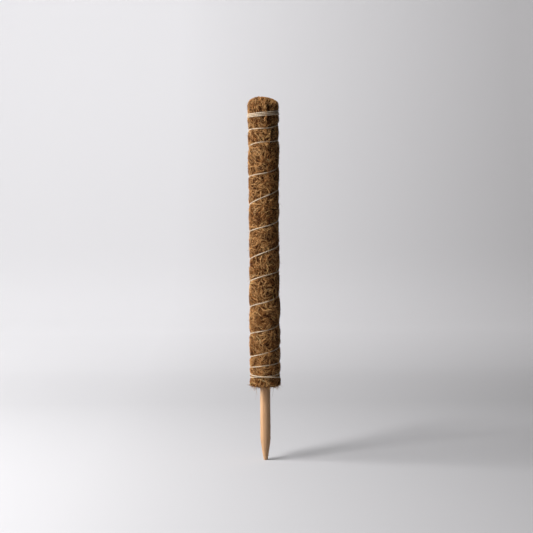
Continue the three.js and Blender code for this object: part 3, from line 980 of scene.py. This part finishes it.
def wood_material():
    """Pale turned wood with its grain along the stake."""
    material, tree, shader = new_material("stake_wood")
    grain = add_noise(tree, scale=(260, 260, 7), detail=6, roughness=0.65)
    dark, middle, pale = (0.44, 0.24, 0.12), (0.56, 0.33, 0.18), (0.64, 0.4, 0.23)
    colour_by(tree, shader, grain, (0.3, dark), (0.5, middle), (0.7, pale))
    matt(shader, roughness=0.65, specular=0.2)
    add_bump(tree, shader, grain, distance=0.00015)
    return material


# Material of the floor

# Places across it, in metres, where its paper is palest and where it is dimmest, a painted falloff of the
# light from the left
PAINTED_LIT_SIDE = -0.25
PAINTED_DIM_SIDE = 0.75
# Share of its colour that the paper keeps for the light that it scatters
FLOOR_BOUNCE = 0.75
# The floor's glow, painted light for direct sight: a way back from the pole, and its levels at shares of that
# way
GLOW_REACH = 4.0
GLOW_LEVELS = (
    (0.0, 0.0), (0.12, 0.0), (0.22, 0.3), (0.36, 0.67), (0.45, 0.72), (0.58, 0.61), (0.85, 0.71),
)


def add_paper_colour_painted_falloff(tree, sideways):
    aside = add_node(tree, "ShaderNodeMapRange", From_Min=PAINTED_LIT_SIDE, From_Max=PAINTED_DIM_SIDE)
    tree.links.new(sideways, aside.inputs["Value"])
    # Painted light: palest on the lit left, dimmest on the right
    pale, dim = (0.55, 0.543, 0.557), (0.355, 0.348, 0.355)
    return add_ramp(tree, aside.outputs["Result"], (0.0, pale), (1.0, dim))


def add_glow(tree, backward, upward, sight):
    """Painted light: a glow for direct sight, in levels along the way back over the floor and up the
    backdrop.
    """
    way = add_node(tree, "ShaderNodeMath", "ADD")
    share = add_node(tree, "ShaderNodeMapRange", From_Min=0.0, From_Max=GLOW_REACH)
    glow = add_node(tree, "ShaderNodeMath", "MULTIPLY")
    tree.links.new(backward, way.inputs[0])
    tree.links.new(upward, way.inputs[1])
    tree.links.new(way.outputs["Value"], share.inputs["Value"])
    stops = [(position, (level, level, level)) for position, level in GLOW_LEVELS]
    tree.links.new(sight, glow.inputs[0])
    tree.links.new(add_ramp(tree, share.outputs["Result"], *stops, blend="CARDINAL"), glow.inputs[1])
    return glow.outputs["Value"]


def floor_material():
    """Pale paper, paler to the left as painted light falling off from the lamps on the left. It glows towards
    the backdrop as painted light, and scatters less light than it shows.
    """
    material, tree, shader = new_material("floor")
    where = add_node(tree, "ShaderNodeTexCoord")
    axes = add_node(tree, "ShaderNodeSeparateXYZ")
    bounce = add_node(tree, "ShaderNodeMapRange", To_Min=FLOOR_BOUNCE, To_Max=1.0)
    paper = add_node(tree, "ShaderNodeVectorMath", "SCALE")
    tree.links.new(where.outputs["Object"], axes.inputs["Vector"])
    sight = add_direct_sight(tree)
    # Paler to the left: painted falloff of the light
    colour = add_paper_colour_painted_falloff(tree, axes.outputs["X"])
    # Painted light that the camera sees on the floor and backdrop
    glow = add_glow(tree, axes.outputs["Y"], axes.outputs["Z"], sight)
    tree.links.new(sight, bounce.inputs["Value"])
    tree.links.new(colour, paper.inputs["Vector"])
    tree.links.new(bounce.outputs["Result"], paper.inputs["Scale"])
    tree.links.new(paper.outputs["Vector"], shader.inputs["Base Color"])
    tree.links.new(colour, shader.inputs["Emission Color"])
    tree.links.new(glow, shader.inputs["Emission Strength"])
    matt(shader, roughness=0.9, specular=0.1)
    return material


# Stage

FLOOR_FRONT = -3.5
FLOOR_HALF_WIDTH = 5.0
SWEEP_START = 1.6
SWEEP_RADIUS = 0.9
SWEEP_STEPS = 16
BACKDROP_HEIGHT = 4
LIGHT_TARGET = Vector((0, 0, 0.3))


def add_floor():
    """A floor that sweeps up into a backdrop."""
    bend = np.linspace(0, math.pi / 2, SWEEP_STEPS)
    backdrop = SWEEP_START + SWEEP_RADIUS
    depth = np.concatenate(([FLOOR_FRONT], SWEEP_START + SWEEP_RADIUS * np.sin(bend), [backdrop]))
    height = np.concatenate(([0], SWEEP_RADIUS * (1 - np.cos(bend)), [BACKDROP_HEIGHT]))
    left = np.stack([np.full(len(depth), -FLOOR_HALF_WIDTH), depth, height], -1)
    count = len(depth)
    i = np.arange(count - 1)
    faces = np.stack([i, i + count, i + count + 1, i + 1], -1)
    floor = mesh_piece("floor", np.concatenate((left, left * (-1, 1, 1))), faces)
    floor.data.materials.append(floor_material())


def add_light(name, bearing, rise, distance, size, power):
    """A round soft light. Its bearing is from the front, positive to the right, in degrees."""
    data = bpy.data.lights.new(name, "AREA")
    data.shape = "DISK"
    data.size = size
    data.energy = power
    light = bpy.data.objects.new(name, data)
    turn, lift = math.radians(bearing), math.radians(rise)
    direction = Vector((math.cos(lift) * math.sin(turn), -math.cos(lift) * math.cos(turn), math.sin(lift)))
    light.location = LIGHT_TARGET + distance * direction
    light.rotation_euler = (-direction).to_track_quat("-Z", "Y").to_euler()
    bpy.context.collection.objects.link(light)


def add_world(strength, seen_strength):
    """A faint even light, that looks as pale as the backdrop where it is seen."""
    world = bpy.data.worlds.new("world")
    world.use_nodes = True
    tree = world.node_tree
    background = tree.nodes["Background"]
    background.inputs["Color"].default_value = (1, 1, 1, 1)
    shown = add_node(tree, "ShaderNodeMapRange", To_Min=strength, To_Max=seen_strength)
    tree.links.new(add_direct_sight(tree), shown.inputs["Value"])
    tree.links.new(shown.outputs["Result"], background.inputs["Strength"])
    bpy.context.scene.world = world


# Assembly

add_camera()
twine_look, felt_look, fibre_look = twine_material(), felt_material(), fibre_material()
dress(twine_piece(), twine_look, "twine", "binding_twine")
dress(knot_piece("knot_top", FIRST_TURN, 1), twine_look, "twine", "top_knot")
dress(knot_piece("knot_bottom", LAST_TURN, -1), twine_look, "twine", "bottom_knot")
dress(stake_piece(), wood_material(), "stake_wood", "stake")
dress(roll_piece(), felt_look, "mat_coir", "coir_mat")
dress(crown_piece(), felt_look, "crown_coir", "crown_cap")
for band in range(MAT_BANDS):
    dress(mat_fibre_piece(band), fibre_look, "mat_coir")
dress(crown_fibre_piece(), fibre_look, "crown_coir")
dress(stray_piece(), fibre_look, "mat_coir")
dress(fray_piece(), fibre_look, "mat_coir")

add_floor()
add_light("key", bearing=-52, rise=55, distance=2.4, size=0.6, power=40)
add_light("side", bearing=-80, rise=27, distance=2.2, size=1.6, power=88)
add_world(strength=0.015, seen_strength=0.6)
bpy.context.scene.view_settings.view_transform = "Standard"
